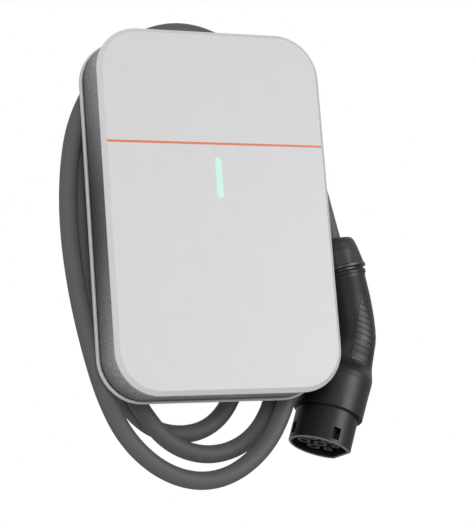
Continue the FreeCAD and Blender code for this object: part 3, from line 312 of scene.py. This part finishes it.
def rim_plastic(name, colour):
    """The pale rim, with painted shade that turns it black in the narrow groove that it forms with the
    housing.
    """
    material = shader(name, colour, roughness=0.45, specular=0.15)
    painted_crevice_shade(material, colour, reach=0.003, black=0.55, full=0.75)
    grain(material, scale=2000, height=0.000006)
    return material


def painted_light_wall(name):
    """The dark housing with painted shade and light: painted black shade in its groove by the rim, then
    painted light that makes it lighter towards the cover and its corners.
    """
    material = shader(name, (0.07, 0.07, 0.07), roughness=0.55, specular=0.2)
    place = node(material, "ShaderNodeSeparateXYZ", {"Vector": object_place(material)}).outputs
    front, back = (corner[1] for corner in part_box("middle_housing"))
    # Painted shade near the rim and painted light towards the cover go by the share of the way from the
    # rim to the housing's front edge.
    forward = remap(material, place["Y"], source=(back, front), target=(0.0, 1.0))
    painted_shade_and_light = ramp(material, forward, [
        (0.095, (0.005, 0.005, 0.005)),
        (0.11, (0.028, 0.028, 0.028)),
        (0.18, (0.038, 0.038, 0.038)),
        (0.45, (0.058, 0.058, 0.058)),
        (1.0, (0.105, 0.105, 0.107)),
    ])
    # Painted light makes it lighter above and below the middle of the box, and it is finely speckled.
    from_middle = calculate(material, "ABSOLUTE", place["Z"])
    painted_corner_light = remap(material, from_middle, source=(0.02, 0.15), target=(1.2, 4.0))
    speck_gain = remap(material, noise(material, scale=520), source=(0.3, 0.7), target=(0.5, 1.5))
    gain = calculate(material, "MULTIPLY", painted_corner_light, speck_gain)
    feed(material, "Base Color", scaled(material, painted_shade_and_light, gain))
    grain(material, scale=1300, height=0.00006)
    return material


def lit_guide(name, colour):
    """A frosted light guide with light behind it."""
    material = shader(name, colour, roughness=0.35, specular=0.2)
    inputs = material.node_tree.nodes["Principled BSDF"].inputs
    inputs["Emission Color"].default_value = (*colour, 1)
    inputs["Emission Strength"].default_value = 0.06
    grain(material, scale=2500, height=0.00002)
    return material


def black_plastic(name, colour, roughness, specular, reach):
    """Dark satin plastic that mirrors little of the bright room, with painted shade that makes it darker
    in its creases.
    """
    material = shader(name, colour, roughness, specular=specular)
    painted_crevice_shade(material, colour, reach, black=0.35, full=0.95)
    grain(material, scale=1500, height=0.00002)
    return material


def painted_highlight_nose(name, colour):
    """Black plastic with a painted highlight that makes the face round the mouth paler, found by its
    height above the mouth.
    """
    material = black_plastic(name, colour, roughness=0.44, specular=0.11, reach=0.02)
    mounts = {mount["name"]: mount for mount in frame["record"]["mounts"]}
    nose = mounts["connector_nose"]
    up = -Vector(nose["axis"])
    half_length = nose["dims"]["length_mm"] / 1000 / 2
    mouth = up.dot(Vector(nose["pos_m"])) - half_length
    # The painted highlight makes the face that many times paler up to the first height, and fades out by
    # the second.
    painted_highlight_gain = 14.0
    painted_highlight_heights = (mouth + 0.0003, mouth + 0.0012)
    inputs = {0: object_place(material), 1: up}
    height = node(material, "ShaderNodeVectorMath", inputs, operation="DOT_PRODUCT").outputs["Value"]
    gain = remap(material, height, source=painted_highlight_heights, target=(painted_highlight_gain, 1.0))
    principled = material.node_tree.nodes["Principled BSDF"]
    plain = principled.inputs["Base Color"].links[0].from_socket
    feed(material, "Base Color", scaled(material, plain, gain))
    return material


def rubber(name, colour, roughness=0.7, specular=0.3, spread=0.1):
    """Matte rubber with a slightly uneven colour."""
    material = shader(name, colour, roughness, specular=specular)
    grain(material, scale=900, height=0.00002)
    mottle(material, scale=140, colour=colour, spread=spread)
    return material


def sheath(name, colour):
    """The cable's smooth sheath, with painted shade that makes it darker where its turns lie close to
    each other.
    """
    material = shader(name, colour, roughness=0.6, specular=0.12)
    painted_crevice_shade(material, colour, reach=0.005, black=0.3, full=0.7)
    grain(material, scale=900, height=0.00002)
    return material


def metal(name, colour, roughness):
    """Bare metal with a fine grain and an uneven gloss."""
    material = shader(name, colour, roughness, metallic=1.0)
    grain(material, scale=600, height=0.00001)
    gloss_variation(material, scale=200, roughness=roughness, spread=0.08)
    return material


def circuit_board(name):
    """Green solder mask, under which copper shows as lighter fields between darker lines."""
    material = shader(name, (0.02, 0.13, 0.06), roughness=0.35)
    upright = node(material, "ShaderNodeMapping", {
        "Vector": object_place(material),
        "Rotation": (math.radians(90), 0, 0),
    })
    traces = node(material, "ShaderNodeTexBrick", {
        "Vector": upright.outputs["Vector"],
        "Scale": 160,
        "Color1": (0.02, 0.14, 0.06, 1),
        "Color2": (0.03, 0.19, 0.08, 1),
        "Mortar": (0.01, 0.08, 0.04, 1),
    })
    feed(material, "Base Color", traces.outputs["Color"])
    return material


def make_materials():
    """One material for each slot of the record."""
    made = {
        "cover_white": smooth_plastic("cover_white", (0.72, 0.72, 0.73), roughness=0.42, spread=0.006),
        "stripe_orange": smooth_plastic("stripe_orange", (0.78, 0.21, 0.09), roughness=0.4, spread=0.01),
        "light_guide": lit_guide("light_guide", (0.60, 0.91, 0.77)),
        "housing_dark": painted_light_wall("housing_dark"),
        "rim_grey": rim_plastic("rim_grey", (0.66, 0.66, 0.67)),
        "circuit_board": circuit_board("circuit_board"),
        "cable_sheath": sheath("cable_sheath", (0.125, 0.125, 0.127)),
        "connector_black": black_plastic(
            "connector_black", (0.017, 0.017, 0.018), roughness=0.44, specular=0.11, reach=0.03
        ),
        "cap_black": black_plastic(
            "cap_black", (0.014, 0.014, 0.015), roughness=0.42, specular=0.24, reach=0.03
        ),
        "nose_black": painted_highlight_nose("nose_black", (0.015, 0.015, 0.016)),
        "carrier_black": black_plastic(
            "carrier_black", (0.05, 0.05, 0.051), roughness=0.45, specular=0.2, reach=0.008
        ),
        "grip_rubber": rubber(
            "grip_rubber", (0.022, 0.022, 0.023), roughness=0.48, specular=0.17, spread=0.03
        ),
    }
    for slot, (colour, roughness) in PLAIN_PLASTICS.items():
        made[slot] = moulded_plastic(slot, colour, roughness)
    for slot, (colour, roughness) in METALS.items():
        made[slot] = metal(slot, colour, roughness)
    for slot, colour in RUBBERS.items():
        made[slot] = rubber(slot, colour)
    return made


def dress_nodes(materials):
    """Gives every CAD node the material of its slot."""
    for entry in frame["record"]["subparts"]:
        mesh = frame["nodes"][entry["node"]].data
        mesh.materials.clear()
        mesh.materials.append(materials[entry["material_slot"]])


# The charging cable


def add_cord(material):
    """One round tube along the route, as a smooth spline."""
    curve = bpy.data.curves.new("charging_cord", "CURVE")
    curve.dimensions = "3D"
    spline = curve.splines.new("NURBS")
    spline.points.add(len(CABLE_ROUTE) - 1)
    for point, place in zip(spline.points, CABLE_ROUTE):
        point.co = (*place, 1)
    spline.order_u = 3
    spline.use_endpoint_u = True
    spline.resolution_u = 12
    curve.bevel_depth = CABLE_DIAMETER / 2
    curve.bevel_resolution = 8
    curve.use_fill_caps = True
    curve.materials.append(material)
    cord = bpy.data.objects.new("charging_cord", curve)
    bpy.context.collection.objects.link(cord)
    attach(cord, "root")
    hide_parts("charging_cable")


# Camera, floor and light


def add_camera():
    """The camera at the photograph's viewing angle."""
    data = bpy.data.cameras.new("camera")
    data.lens = CAMERA_LENS
    data.sensor_width = CAMERA_SENSOR
    camera = bpy.data.objects.new("camera", data)
    backward = CAMERA_RIGHT.cross(CAMERA_UP)
    turn = Matrix((CAMERA_RIGHT, CAMERA_UP, backward)).transposed()
    camera.matrix_world = Matrix.Translation(CAMERA_PLACE) @ turn.to_4x4()
    bpy.context.collection.objects.link(camera)
    bpy.context.scene.camera = camera


def add_floor():
    """A plain pale floor, well below the charger."""
    mesh = bpy.data.meshes.new("floor")
    sides = ((-1, -1), (1, -1), (1, 1), (-1, 1))
    corners = [(x * FLOOR_REACH, y * FLOOR_REACH, -FLOOR_DROP) for x, y in sides]
    mesh.from_pydata(corners, [], [(0, 1, 2, 3)])
    material = shader("floor_white", (0.80, 0.80, 0.80), roughness=0.9, specular=0.0)
    grain(material, scale=40, height=0.0002)
    mesh.materials.append(material)
    floor = bpy.data.objects.new("floor", mesh)
    bpy.context.collection.objects.link(floor)


def add_world():
    """Even soft light, and plain white for what the camera, gloss and glass show behind the object."""
    world = bpy.data.worlds.new("studio")
    bpy.context.scene.world = world
    world.use_nodes = True
    world.node_tree.nodes.clear()
    rays = node(world, "ShaderNodeLightPath").outputs
    mirrored = calculate(world, "MAXIMUM", rays["Is Glossy Ray"], rays["Is Transmission Ray"])
    seen = calculate(world, "MAXIMUM", rays["Is Camera Ray"], mirrored)
    fill = node(world, "ShaderNodeBackground", {"Color": WHITE, "Strength": FILL_STRENGTH})
    backdrop = node(world, "ShaderNodeBackground", {"Color": WHITE, "Strength": BACKDROP_STRENGTH})
    choice = node(world, "ShaderNodeMixShader", {
        "Fac": seen,
        1: fill.outputs["Background"],
        2: backdrop.outputs["Background"],
    })
    node(world, "ShaderNodeOutputWorld", {"Surface": choice.outputs["Shader"]})


def area_light(name, place, size, power, only_gloss=False):
    """A round lamp aimed at the box, its size in metres and its power in watts.

    only_gloss keeps its light to reflections.
    """
    data = bpy.data.lights.new(name, "AREA")
    data.shape = "DISK"
    data.size = size
    data.energy = power
    light = bpy.data.objects.new(name, data)
    light.location = place
    light.rotation_euler = (LAMPS_AIM - Vector(place)).to_track_quat("-Z", "Y").to_euler()
    light.visible_diffuse = not only_gloss
    bpy.context.collection.objects.link(light)


def add_lights():
    """A main lamp near the camera, two weak ones, and one that adds only the connector's gloss."""
    area_light("front", place=(-0.85, -2.86, 0.2), size=0.7, power=29)
    area_light("left", place=(-2.0, -1.9, 0.9), size=1.0, power=1.2)
    area_light("low", place=(-1.5, -1.3, -1.5), size=0.8, power=4)
    area_light("sheen", place=(1.9, -2.35, 0.1), size=1.6, power=200, only_gloss=True)


materials = make_materials()
dress_nodes(materials)
add_cord(materials["cable_sheath"])
add_camera()
add_floor()
add_world()
add_lights()
bpy.context.scene.view_settings.view_transform = "Standard"
